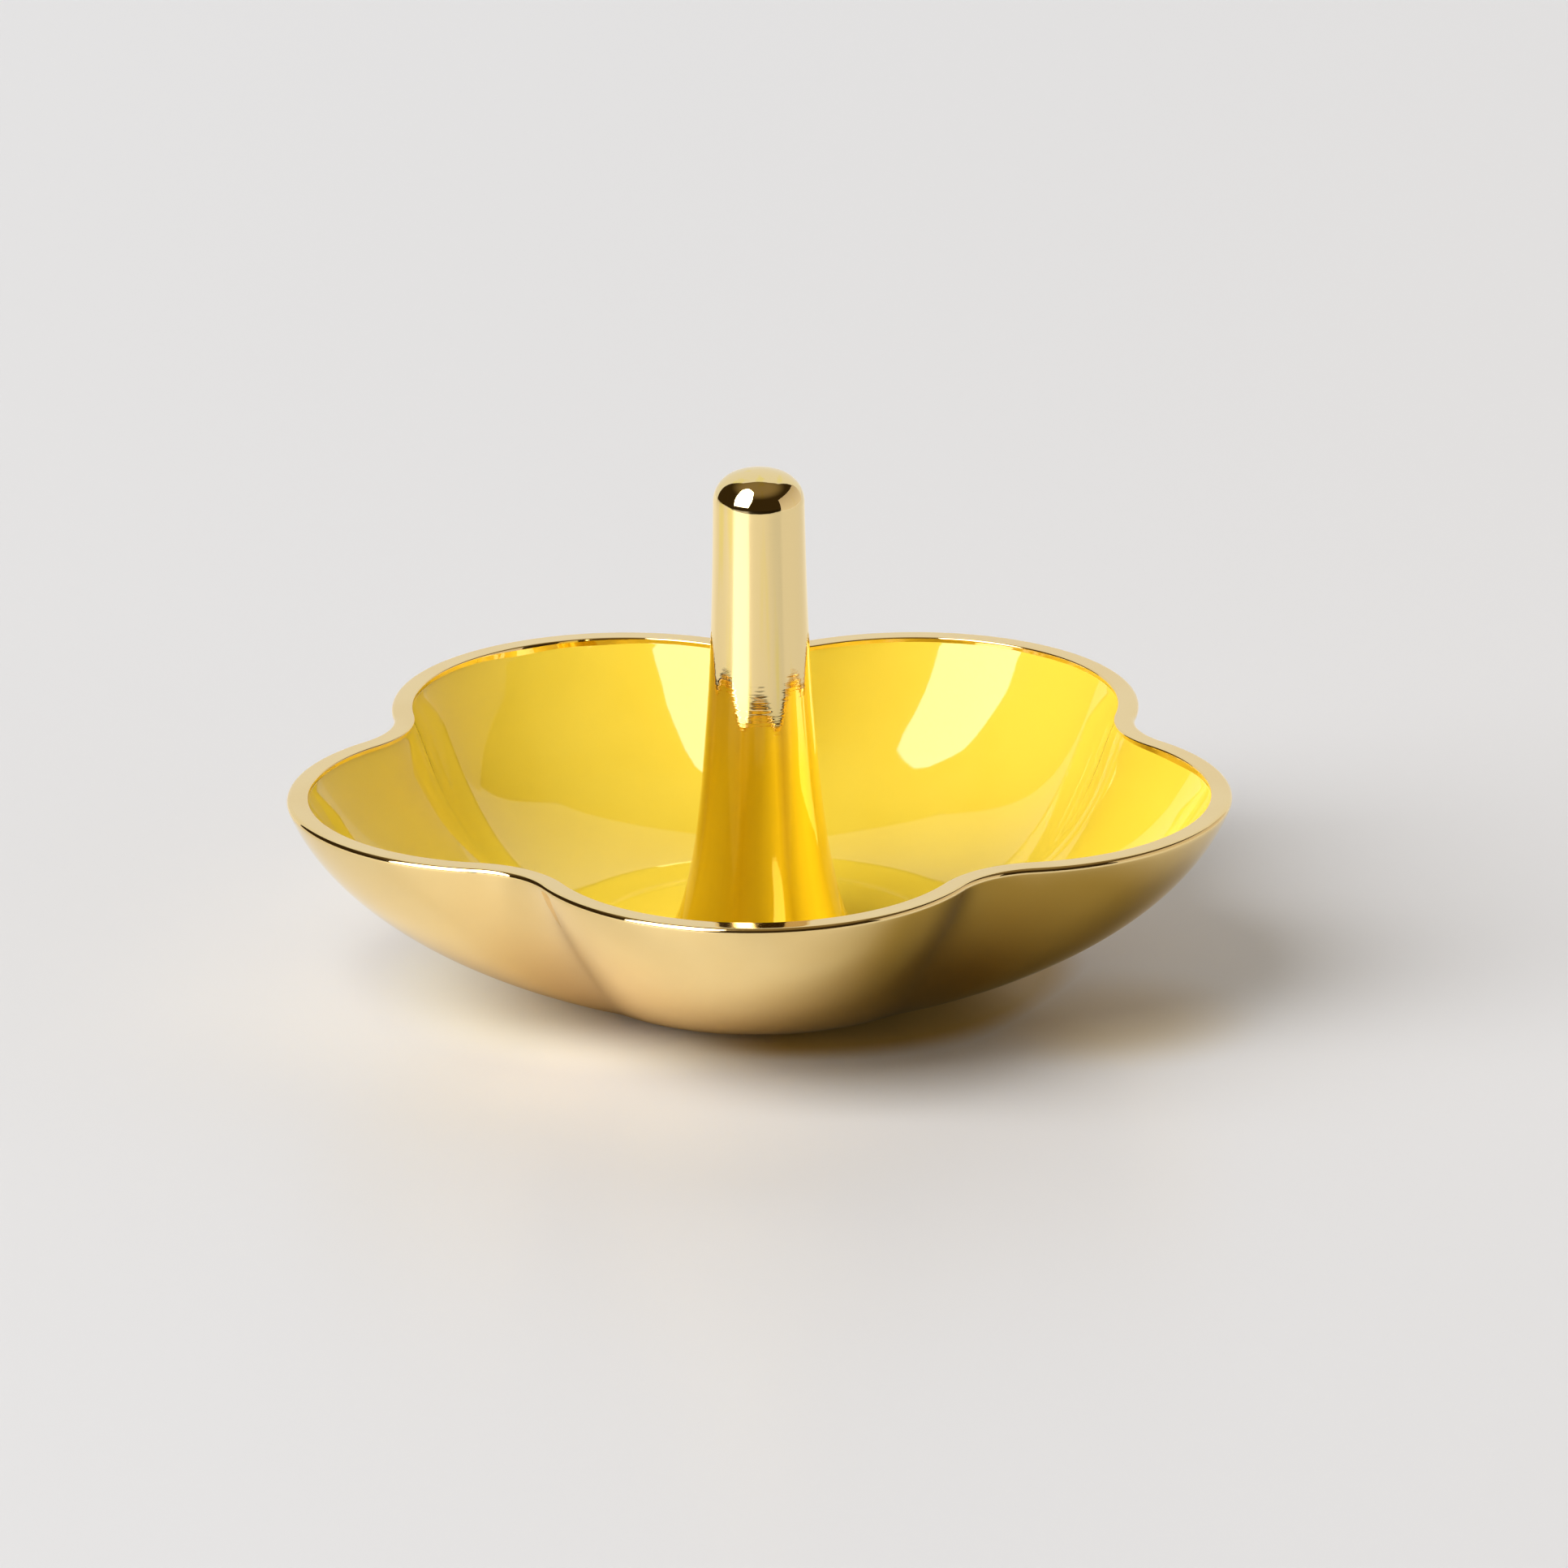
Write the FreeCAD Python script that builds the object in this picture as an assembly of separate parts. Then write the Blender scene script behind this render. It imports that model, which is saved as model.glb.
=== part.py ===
import FreeCAD, Part
import math
import os

# Petal outline of the rim, seen from above
PETAL_COUNT = 5
RIM_TIP_RADIUS = 56.7
RIM_LOBE_RADIUS = 27.0
RIM_CUSP_RADIUS = 11.0
FRONT_ANGLE = -90.0

# Outside of the bowl: its rim, its flat base and the curve of the wall between them
RIM_HEIGHT = 25.6
RIM_WALL_ANGLE = 68.0
RIM_CURVE_REACH = 13.9
RIM_ROUND = 0.5
RIM_ROUND_STRIPS = 6
BASE_TIP_RADIUS = 22.0
BASE_LOBE_RADIUS = 20.0
BASE_CUSP_RADIUS = 11.0
PETAL_FADE = 1.5
BASE_WALL_ANGLE = 12.0
BASE_CURVE_REACH = 12.2
WALL_LEVELS = 9

# Thickness of the bowl with its enamel, measured square to the wall
RIM_WALL = 2.25
FLOOR_WALL = 3.4
WALL_THINNING = 1.0
ENAMEL_THICKNESS = 0.5
ENAMEL_BELOW_RIM = 0.7

# Felt pad and its recess under the bowl
PAD_THICKNESS = 1.6
PAD_RECESS_DEPTH = 0.8
PAD_LIP = 3.7
PAD_GAP = 0.3
PAD_EDGE = 0.3

# Ring post: its rounded top, its taper and its flared foot
POST_HEIGHT = 62.4
POST_NECK_RADIUS = 5.37
POST_NECK_ANGLE = 0.86
POST_NECK_REACH = 24.6
POST_FOOT_RADIUS = 12.4
POST_FOOT_ANGLE = 65.0
POST_FOOT_REACH = 5.8
POST_FOOT_GAP = 0.05
POST_SHOULDER_RADIUS = 3.6
POST_CROWN_RADIUS = 8.0

# Boss of the bowl inside the post's foot
BOSS_WALL = 2.2
BOSS_WEB = 2.0
BOSS_GAP = 0.05
SCREW_HOLE_GAP = 0.2

# Machine screw, its thread and its washers
SCREW_RADIUS = 2.0
SCREW_LENGTH = 12.0
SCREW_HEAD_RADIUS = 4.0
SCREW_HEAD_HEIGHT = 2.4
SCREW_HEAD_ROUND = 0.8
SCREW_HEAD_GAP = 0.3
DRIVE_LENGTH = 4.2
DRIVE_WIDTH = 0.9
DRIVE_DEPTH = 1.3
THREAD_PITCH = 0.7
THREAD_DEPTH = 0.4
THREAD_GAP = 0.05
TAP_RUNOUT = 2.0
WASHER_INNER_GAP = 0.15
FLAT_WASHER_RADIUS = 4.5
FLAT_WASHER_THICKNESS = 0.8
LOCK_WASHER_RADIUS = 3.8
LOCK_WASHER_THICKNESS = 0.9
LOCK_WASHER_SLIT = 0.5
LOCK_WASHER_SLIT_ANGLE = 20.0
WASHER_SIDE_GAP = 0.4

# How far a cutting shape runs past the face that it cuts
OVERRUN = 1.0

# Heights above the table that follow from the sizes above
BASE_LEVEL = PAD_THICKNESS - PAD_RECESS_DEPTH
FLOOR_SQUARE_SHARE = math.cos(math.radians(BASE_WALL_ANGLE))
FLOOR_LEVEL = BASE_LEVEL + FLOOR_WALL * FLOOR_SQUARE_SHARE
METAL_FLOOR_LEVEL = BASE_LEVEL + (FLOOR_WALL - ENAMEL_THICKNESS) * FLOOR_SQUARE_SHARE
HEAD_LEVEL = PAD_THICKNESS + SCREW_HEAD_GAP
LOCK_WASHER_LEVEL = HEAD_LEVEL + SCREW_HEAD_HEIGHT
FLAT_WASHER_LEVEL = LOCK_WASHER_LEVEL + LOCK_WASHER_THICKNESS
WEB_LEVEL = FLAT_WASHER_LEVEL + FLAT_WASHER_THICKNESS
BOSS_LEVEL = WEB_LEVEL + BOSS_WEB
SCREW_TIP_LEVEL = LOCK_WASHER_LEVEL + SCREW_LENGTH
ENAMEL_EDGE_LEVEL = RIM_HEIGHT - ENAMEL_BELOW_RIM

# Radii that follow from the sizes above
PAD_RECESS_RADIUS = BASE_TIP_RADIUS - PAD_LIP
PAD_RADIUS = PAD_RECESS_RADIUS - PAD_GAP
COUNTERBORE_RADIUS = max(FLAT_WASHER_RADIUS, LOCK_WASHER_RADIUS, SCREW_HEAD_RADIUS) + WASHER_SIDE_GAP
BOSS_RADIUS = COUNTERBORE_RADIUS + BOSS_WALL
WASHER_INNER_RADIUS = SCREW_RADIUS + WASHER_INNER_GAP

UP = FreeCAD.Vector(0, 0, 1)


def polar(radius, angle, height):
    """Point at a radius and an angle in radians about the post's axis."""
    return FreeCAD.Vector(radius * math.cos(angle), radius * math.sin(angle), height)


def cylinder(radius, low, high):
    """Upright cylinder on the post's axis between two heights."""
    return Part.makeCylinder(radius, high - low, FreeCAD.Vector(0, 0, low))


def turned(edges):
    """Solid turned about the post's axis from the closed outline of the edges."""
    face = Part.Face(Part.Wire(edges))
    return face.revolve(FreeCAD.Vector(), UP, 360)


def at(radius, height):
    """Point of a turned outline."""
    return FreeCAD.Vector(radius, 0, height)


def lines(*points):
    """Straight edges of a turned outline from point to point."""
    return [Part.LineSegment(start, end).toShape() for start, end in zip(points, points[1:])]


def petal_wire(tip, lobe, cusp, inset, height):
    """Level flower outline, moved inwards all round by the inset.

    A round arc at each petal's tip runs tangent into a hollow arc between two petals.
    """
    tip, lobe, cusp = tip - inset, lobe - inset, cusp + inset
    half_pitch = math.pi / PETAL_COUNT
    lobe_centre = tip - lobe
    cusp_centre = lobe_centre * math.cos(half_pitch)
    cusp_centre += math.sqrt((lobe + cusp) ** 2 - (lobe_centre * math.sin(half_pitch)) ** 2)
    sweep = math.atan2(cusp_centre * math.sin(half_pitch), cusp_centre * math.cos(half_pitch) - lobe_centre)

    def lobe_end(axis, turn):
        return polar(lobe_centre, axis, height) + polar(lobe, axis + turn, 0)

    edges = []
    for petal in range(PETAL_COUNT):
        axis = math.radians(FRONT_ANGLE) + 2 * half_pitch * petal
        start = lobe_end(axis, -sweep)
        end = lobe_end(axis, sweep)
        next_start = lobe_end(axis + 2 * half_pitch, -sweep)
        hollow = polar(cusp_centre - cusp, axis + half_pitch, height)
        edges.append(Part.Arc(start, polar(tip, axis, height), end).toShape())
        edges.append(Part.Arc(end, hollow, next_start).toShape())
    return Part.Wire(edges)


def blend(base_value, rim_value, spread):
    """Value between the base's (spread 0) and the rim's (spread 1)."""
    return base_value * (1 - spread) + rim_value * spread


def wall_point(share):
    """Radius, height and slope of the outer wall at a petal's tip, from the base (0) to the rim (1)."""
    base_angle = math.radians(BASE_WALL_ANGLE)
    rim_angle = math.radians(RIM_WALL_ANGLE)
    wall_top_radius = RIM_TIP_RADIUS - RIM_ROUND * (1 - math.sin(rim_angle))
    wall_top = RIM_HEIGHT - RIM_ROUND * (1 + math.cos(rim_angle))
    radii = (
        BASE_TIP_RADIUS,
        BASE_TIP_RADIUS + BASE_CURVE_REACH * math.cos(base_angle),
        wall_top_radius - RIM_CURVE_REACH * math.cos(rim_angle),
        wall_top_radius,
    )
    heights = (
        BASE_LEVEL,
        BASE_LEVEL + BASE_CURVE_REACH * math.sin(base_angle),
        wall_top - RIM_CURVE_REACH * math.sin(rim_angle),
        wall_top,
    )
    weights = ((1 - share) ** 3, 3 * share * (1 - share) ** 2, 3 * share ** 2 * (1 - share), share ** 3)
    rates = (-(1 - share) ** 2, (1 - share) * (1 - 3 * share), share * (2 - 3 * share), share ** 2)
    radius = sum(weight * value for weight, value in zip(weights, radii))
    height = sum(weight * value for weight, value in zip(weights, heights))
    run = sum(rate * value for rate, value in zip(rates, radii))
    rise = sum(rate * value for rate, value in zip(rates, heights))
    return radius, height, math.atan2(rise, run)


def wall_wires(rim_inset, floor_inset, thinning, past_rim):
    """Outlines of the wall from the base up, moved inwards square to the wall.

    The petals stand out at the rim and fade towards the round base.
    Halfway up, the inset is less than an even taper by the thinning.
    Past the rim, one more outline carries the wall straight on by the length past_rim.
    """
    wires = []
    for level in range(WALL_LEVELS):
        tip, height, slope = wall_point(level / (WALL_LEVELS - 1))
        spread = (tip - BASE_TIP_RADIUS) / (RIM_TIP_RADIUS - BASE_TIP_RADIUS)
        petals = 1 - (1 - spread) ** PETAL_FADE
        lobe = tip * blend(BASE_LOBE_RADIUS / BASE_TIP_RADIUS, RIM_LOBE_RADIUS / RIM_TIP_RADIUS, petals)
        cusp = tip * blend(BASE_CUSP_RADIUS / BASE_TIP_RADIUS, RIM_CUSP_RADIUS / RIM_TIP_RADIUS, petals)
        thickness = blend(floor_inset, rim_inset, spread) - thinning * 4 * spread * (1 - spread)
        inset = thickness * math.sin(slope)
        height += thickness * math.cos(slope)
        wires.append(petal_wire(tip, lobe, cusp, inset, height))
    if past_rim:
        inset -= past_rim * math.cos(slope)
        height += past_rim * math.sin(slope)
        wires.append(petal_wire(tip, lobe, cusp, inset, height))
    return wires


def rim_wires():
    """Outlines of the rim's rounded outer edge, from the top of the wall round to the flat top."""
    lean = math.pi / 2 - math.radians(RIM_WALL_ANGLE)
    wires = []
    for strip in range(RIM_ROUND_STRIPS + 1):
        turn = (math.pi / 2 + lean) * strip / RIM_ROUND_STRIPS - lean
        inset = RIM_ROUND * (1 - math.cos(turn))
        height = RIM_HEIGHT - RIM_ROUND * (1 - math.sin(turn))
        wires.append(petal_wire(RIM_TIP_RADIUS, RIM_LOBE_RADIUS, RIM_CUSP_RADIUS, inset, height))
    return wires


def bowl_hollow(rim_inset, floor_inset, top):
    """Solid inside the inset wall, cut off level at the top."""
    hollow = Part.makeLoft(wall_wires(rim_inset, floor_inset, WALL_THINNING, RIM_WALL), True)
    return hollow.common(cylinder(2 * RIM_TIP_RADIUS, 0, top))


def enamel_space():
    """Everything inside the metal wall of the bowl, up to the enamel's edge."""
    return bowl_hollow(RIM_WALL - ENAMEL_THICKNESS, FLOOR_WALL - ENAMEL_THICKNESS, ENAMEL_EDGE_LEVEL)


def open_space():
    """The hollow of the finished bowl, inside the enamel and out through the rim."""
    return bowl_hollow(RIM_WALL, FLOOR_WALL, RIM_HEIGHT + OVERRUN)


def make_dish_body():
    """Cast bowl: enamel recess and post boss inside, pad recess and screw counterbore below."""
    rim = rim_wires()
    wall = wall_wires(0, 0, 0, 0)[:-1] + rim[:1]
    body = Part.makeLoft(wall, True).fuse(Part.makeLoft(rim, True, True))
    body = body.cut(enamel_space()).cut(open_space())
    body = body.fuse(cylinder(BOSS_RADIUS, PAD_THICKNESS, BOSS_LEVEL))
    body = body.cut(cylinder(PAD_RECESS_RADIUS, BASE_LEVEL - OVERRUN, PAD_THICKNESS))
    body = body.cut(cylinder(COUNTERBORE_RADIUS, BASE_LEVEL, WEB_LEVEL))
    return body.cut(cylinder(SCREW_RADIUS + SCREW_HOLE_GAP, BASE_LEVEL, BOSS_LEVEL + OVERRUN))


def make_enamel_lining():
    """Layer of enamel that fills the recess of the bowl flush, round the foot of the post."""
    lining = enamel_space().cut(open_space())
    foot_radius = POST_FOOT_RADIUS + POST_FOOT_GAP
    return lining.cut(cylinder(foot_radius, METAL_FLOOR_LEVEL - OVERRUN, FLOOR_LEVEL + OVERRUN))


def make_ring_post():
    """Tapered post, rounded on top and flared at the foot, hollow for the boss and tapped for the screw."""
    shoulder_offset = POST_NECK_RADIUS - POST_SHOULDER_RADIUS
    centres_apart = POST_CROWN_RADIUS - POST_SHOULDER_RADIUS
    crown_turn = math.asin(shoulder_offset / centres_apart)
    crown_centre = POST_HEIGHT - POST_CROWN_RADIUS
    neck_level = crown_centre + centres_apart * math.cos(crown_turn)
    middle_turn = (crown_turn + math.pi / 2) / 2

    def crown_point(turn):
        return at(POST_CROWN_RADIUS * math.sin(turn), crown_centre + POST_CROWN_RADIUS * math.cos(turn))

    top = crown_point(0)
    joint = crown_point(crown_turn)
    neck = at(POST_NECK_RADIUS, neck_level)
    shoulder = at(
        shoulder_offset + POST_SHOULDER_RADIUS * math.sin(middle_turn),
        neck_level + POST_SHOULDER_RADIUS * math.cos(middle_turn),
    )
    foot = at(POST_FOOT_RADIUS, FLOOR_LEVEL)
    neck_angle = math.radians(POST_NECK_ANGLE)
    foot_angle = math.radians(POST_FOOT_ANGLE)
    flare = Part.BezierCurve()
    flare.setPoles([
        neck,
        neck + at(POST_NECK_REACH * math.sin(neck_angle), -POST_NECK_REACH * math.cos(neck_angle)),
        foot + at(-POST_FOOT_REACH * math.sin(foot_angle), POST_FOOT_REACH * math.cos(foot_angle)),
        foot,
    ])
    outline = [
        Part.Arc(top, crown_point(crown_turn / 2), joint).toShape(),
        Part.Arc(joint, shoulder, neck).toShape(),
        flare.toShape(),
    ]
    outline += lines(foot, at(POST_FOOT_RADIUS, METAL_FLOOR_LEVEL), at(0, METAL_FLOOR_LEVEL), top)
    post = turned(outline)
    post = post.cut(cylinder(BOSS_RADIUS + BOSS_GAP, METAL_FLOOR_LEVEL - OVERRUN, BOSS_LEVEL + BOSS_GAP))
    return post.cut(cylinder(SCREW_RADIUS + THREAD_GAP, BOSS_LEVEL, SCREW_TIP_LEVEL + TAP_RUNOUT))


def make_post_screw():
    """Pan-head screw, head down, with a cross recess and its thread as close grooves."""
    root_radius = SCREW_RADIUS - THREAD_DEPTH
    turns = int(SCREW_LENGTH / THREAD_PITCH)
    thread_start = SCREW_TIP_LEVEL - turns * THREAD_PITCH
    flank = SCREW_HEAD_ROUND * math.sqrt(0.5)
    round_start = at(SCREW_HEAD_RADIUS - SCREW_HEAD_ROUND, HEAD_LEVEL)
    round_middle = round_start + at(flank, SCREW_HEAD_ROUND - flank)
    round_end = at(SCREW_HEAD_RADIUS, HEAD_LEVEL + SCREW_HEAD_ROUND)
    points = [round_end, at(SCREW_HEAD_RADIUS, LOCK_WASHER_LEVEL), at(SCREW_RADIUS, LOCK_WASHER_LEVEL)]
    for turn in range(turns):
        points.append(at(SCREW_RADIUS, thread_start + turn * THREAD_PITCH))
        points.append(at(root_radius, thread_start + (turn + 0.5) * THREAD_PITCH))
    points += [at(root_radius, SCREW_TIP_LEVEL), at(0, SCREW_TIP_LEVEL), at(0, HEAD_LEVEL), round_start]
    screw = turned([Part.Arc(round_start, round_middle, round_end).toShape()] + lines(*points))
    for turn in (0, 90):
        slot = Part.makeBox(DRIVE_LENGTH, DRIVE_WIDTH, DRIVE_DEPTH + OVERRUN)
        slot.translate(FreeCAD.Vector(-DRIVE_LENGTH / 2, -DRIVE_WIDTH / 2, HEAD_LEVEL - OVERRUN))
        slot.rotate(FreeCAD.Vector(), UP, turn)
        screw = screw.cut(slot)
    return screw


def make_washer(radius, low, thickness):
    """Flat ring round the screw."""
    ring = cylinder(radius, low, low + thickness)
    return ring.cut(cylinder(WASHER_INNER_RADIUS, low - OVERRUN, low + thickness + OVERRUN))


def make_lock_washer():
    """Spring washer drawn flat by the screw, with a slanted slit through one side."""
    ring = make_washer(LOCK_WASHER_RADIUS, LOCK_WASHER_LEVEL, LOCK_WASHER_THICKNESS)
    depth = LOCK_WASHER_THICKNESS + 2 * OVERRUN
    slit = Part.makeBox(LOCK_WASHER_RADIUS + OVERRUN, LOCK_WASHER_SLIT, depth)
    slit.translate(FreeCAD.Vector(0, -LOCK_WASHER_SLIT / 2, -depth / 2))
    slit.rotate(FreeCAD.Vector(), FreeCAD.Vector(1, 0, 0), LOCK_WASHER_SLIT_ANGLE)
    slit.translate(FreeCAD.Vector(0, 0, LOCK_WASHER_LEVEL + LOCK_WASHER_THICKNESS / 2))
    return ring.cut(slit)


def make_base_pad():
    """Felt disc glued into the recess, standing proud of the base, with a soft lower edge."""
    pad = cylinder(PAD_RADIUS, 0, PAD_THICKNESS)
    lower_edges = [edge for edge in pad.Edges if edge.BoundBox.Center.z < PAD_EDGE]
    return pad.makeFillet(PAD_EDGE, [edge for edge in lower_edges if edge.Closed])


PIECES = {
    "dish_body": make_dish_body(),
    "enamel_lining": make_enamel_lining(),
    "ring_post": make_ring_post(),
    "post_screw": make_post_screw(),
    "lock_washer": make_lock_washer(),
    "flat_washer": make_washer(FLAT_WASHER_RADIUS, FLAT_WASHER_LEVEL, FLAT_WASHER_THICKNESS),
    "base_pad": make_base_pad(),
}

os.makedirs("parts", exist_ok=True)
for name, shape in PIECES.items():
    shape.exportStep(f"parts/{name}.step")
    print(name, len(shape.Solids), shape.isValid(), round(shape.Volume, 2))
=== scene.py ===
import math

import bpy
import numpy as np
from bpy.props import FloatProperty, FloatVectorProperty, IntProperty, PointerProperty
from mathutils import Matrix, Vector


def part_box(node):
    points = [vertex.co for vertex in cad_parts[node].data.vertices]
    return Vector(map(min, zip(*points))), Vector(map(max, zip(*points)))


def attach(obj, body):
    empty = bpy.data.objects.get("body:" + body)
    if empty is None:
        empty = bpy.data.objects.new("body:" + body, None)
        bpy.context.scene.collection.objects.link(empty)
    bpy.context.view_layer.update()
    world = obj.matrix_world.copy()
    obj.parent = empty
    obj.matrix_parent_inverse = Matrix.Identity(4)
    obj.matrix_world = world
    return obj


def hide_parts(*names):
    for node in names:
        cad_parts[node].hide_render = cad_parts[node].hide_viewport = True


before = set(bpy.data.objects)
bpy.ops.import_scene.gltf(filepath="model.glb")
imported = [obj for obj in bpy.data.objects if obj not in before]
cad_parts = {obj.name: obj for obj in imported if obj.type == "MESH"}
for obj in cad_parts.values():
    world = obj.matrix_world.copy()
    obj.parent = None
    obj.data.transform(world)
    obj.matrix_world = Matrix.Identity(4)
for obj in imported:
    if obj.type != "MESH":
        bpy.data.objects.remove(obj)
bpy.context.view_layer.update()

bl_info = {
    "name": "Ring dish",
    "version": (1, 0, 0),
    "blender": (4, 5, 0),
    "location": "View3D > Sidebar > Ring dish",
    "description": "Petal bowl in gold plate and yellow enamel with a post for rings",
    "category": "Object",
}

BODY = "root"
GOLD_SLOT = "gold_plate"
ENAMEL_SLOT = "yellow_enamel"
FELT_SLOT = "felt"
FASTENERS = ("post_screw", "lock_washer", "flat_washer")

MM = 0.001
DEGREE = math.radians(1)
TURN = 2 * math.pi
PETALS = 5
HALF_PETAL = math.pi / PETALS

# Rows of the bowl's grid
OUTSIDE_ROWS = 72
RIM_EDGE_ROWS = 13
RIM_TOP_ROWS = 6
LIP_EDGE_ROWS = 9
LIP_ROWS = 5
INSIDE_ROWS = 24
BASE_ROWS = 4

# Rows of the enamel's grid
BACK_ROWS = 20
BEAD_ROWS = 7
FACE_ROWS = 96
FLOOR_ROWS = 26

# Rows of the post's grid
FLANK_ROWS = 150
SHOULDER_ROWS = 40
CROWN_ROWS = 24

# Rows of the pad's grid
PAD_UNDER_ROWS = 8
PAD_EDGE_ROWS = 8
PAD_SIDE_ROWS = 3
PAD_UPPER_ROWS = 5

# Depth of the bowl's outside: none at the rim, at the floor and between, and the whole waist
OUTER_DEPTH = (0, 0, 0, 1)

# Where the enamel has drawn back from the lip: degrees from the front, half width in degrees and depth
LIP_DIPS = ((-147.0, 4.2, 0.50 * MM), (-157.0, 3.6, 0.26 * MM), (95.0, 4.5, 0.42 * MM))

# Where the enamel swells more: degrees from the front and half width in degrees, and the added share
THICK_PLACE = (157.0, 12.0)
THICK_SHARE = 0.5

# Sine waves round an edge: share, number and start of each
ENAMEL_WAVES = ((0.5, 7, 1.3), (0.3, 13, 4.1), (0.2, 31, 2.2))
FRAY_WAVES = ((0.5, 9, 0.4), (0.3, 23, 2.0), (0.2, 47, 5.1))

# Zones of the floor where light and shade are painted: middle, distance within which each is whole,
# and distance at which it has faded out
DISH_ZONE = ((0, 0, 0), 0.09, 0.15)
GLOW_ZONE = ((-0.012, -0.002, 0), 0.024, 0.036)
DEEP_SHADE_ZONE = ((0.041, -0.016, 0), 0.004, 0.020)
SHADE_ZONE = ((0.038, -0.027, 0), 0.014, 0.048)

# Tints of the stage's light, as shares of its brightness
BACKDROP_TINT = (1.0, 0.995, 0.985)
SOFTBOX_TINT = (1.0, 0.97, 1.0)
ROOM_TINT = (1.0, 0.62, 0.22)
FRONT_TINT = (0.24, 0.14, 0.05)

# Places that the packed solids give
DISH_LOW, DISH_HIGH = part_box("dish_body")
LINING_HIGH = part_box("enamel_lining")[1]
POST_LOW, POST_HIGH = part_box("ring_post")
PAD_LOW, PAD_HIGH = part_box("base_pad")


def setting(kind, **options):
    """Function that makes a property of one kind from its title, description and default."""
    def make(title, description, default):
        return kind(name=title, description=description, default=default, **options)

    return make


length = setting(FloatProperty, unit="LENGTH", subtype="DISTANCE")
angle = setting(FloatProperty, unit="ROTATION", subtype="ANGLE")
focal = setting(FloatProperty, unit="CAMERA")
factor = setting(FloatProperty, min=0, subtype="FACTOR")
count = setting(IntProperty, min=3)
colour = setting(FloatVectorProperty, size=3, min=0, max=1, subtype="COLOR")


class BowlSizes(bpy.types.PropertyGroup):
    """Sizes of the petal bowl and of the layers in it."""

    tip_radius: length("Petal tip", "Radius of the rim at a petal's tip", -DISH_LOW.y)
    lobe_radius: length("Petal arc", "Radius of the arc round a petal's tip", 27.0 * MM)
    cusp_radius: length("Hollow arc", "Radius of the arc between two petals", 11.0 * MM)
    rim_height: length("Rim height", "Height of the rim above the table", DISH_HIGH.z)
    rim_angle: angle("Rim slope", "Slope of the outer wall just under the rim", 68.0 * DEGREE)
    rim_reach: length("Rim reach", "Pull of the wall's curve at the rim", 13.9 * MM)
    rim_round: length("Rim rounding", "Radius of the rim's outer edge", 0.5 * MM)
    lip_round: length("Lip rounding", "Radius of the rim's inner edge", 0.22 * MM)
    base_height: length("Base height", "Height of the flat base above the table", DISH_LOW.z)
    base_tip_radius: length("Base tip", "Radius of the base at a petal's tip", 22.0 * MM)
    base_lobe_radius: length("Base arc", "Radius of the base's arc at a petal's tip", 20.0 * MM)
    base_cusp_radius: length("Base hollow arc", "Radius of the base's arc between petals", 11.0 * MM)
    petal_fade: factor("Petal fade", "Power by which the petals fade towards the base", 1.5)
    waist: factor("Waist", "Share that the petal's arc loses halfway up the outside", 0.075)
    hollow_waist: factor("Hollow waist", "Share that the hollow's arc gains halfway up the outside", 0.20)
    base_angle: angle("Base slope", "Slope of the outer wall at the base", 12.0 * DEGREE)
    base_reach: length("Base reach", "Pull of the wall's curve at the base", 12.2 * MM)
    rim_wall: length("Wall at the rim", "Thickness of metal and enamel at the rim", 2.25 * MM)
    floor_wall: length("Wall at the floor", "Thickness of metal and enamel at the floor", 3.4 * MM)
    thinning: length("Thinning", "How much thinner the wall is halfway up than an even taper", 1.0 * MM)
    enamel: length("Enamel", "Thickness of the enamel", 0.5 * MM)
    swell: length("Swell", "How far the enamel swells inwards under its edge", 0.35 * MM)
    ledge_height: length("Ledge height", "Height of the ledge that the enamel fills", LINING_HIGH.z)
    recess_radius: length("Pad recess", "Radius of the recess for the felt pad", 18.3 * MM)
    recess_top: length("Recess top", "Height of the recess's top", PAD_HIGH.z)
    counterbore_radius: length("Counterbore", "Radius of the counterbore for the screw", 4.9 * MM)
    web_height: length("Web", "Height of the web that the screw clamps", 6.0 * MM)
    boss_height: length("Boss top", "Height of the boss inside the post", 8.0 * MM)
    boss_radius: length("Boss", "Radius of the boss inside the post", 7.1 * MM)
    hole_radius: length("Screw hole", "Radius of the screw's clearance hole", 2.2 * MM)
    columns: count("Columns", "Grid lines round the bowl", 480)


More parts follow.
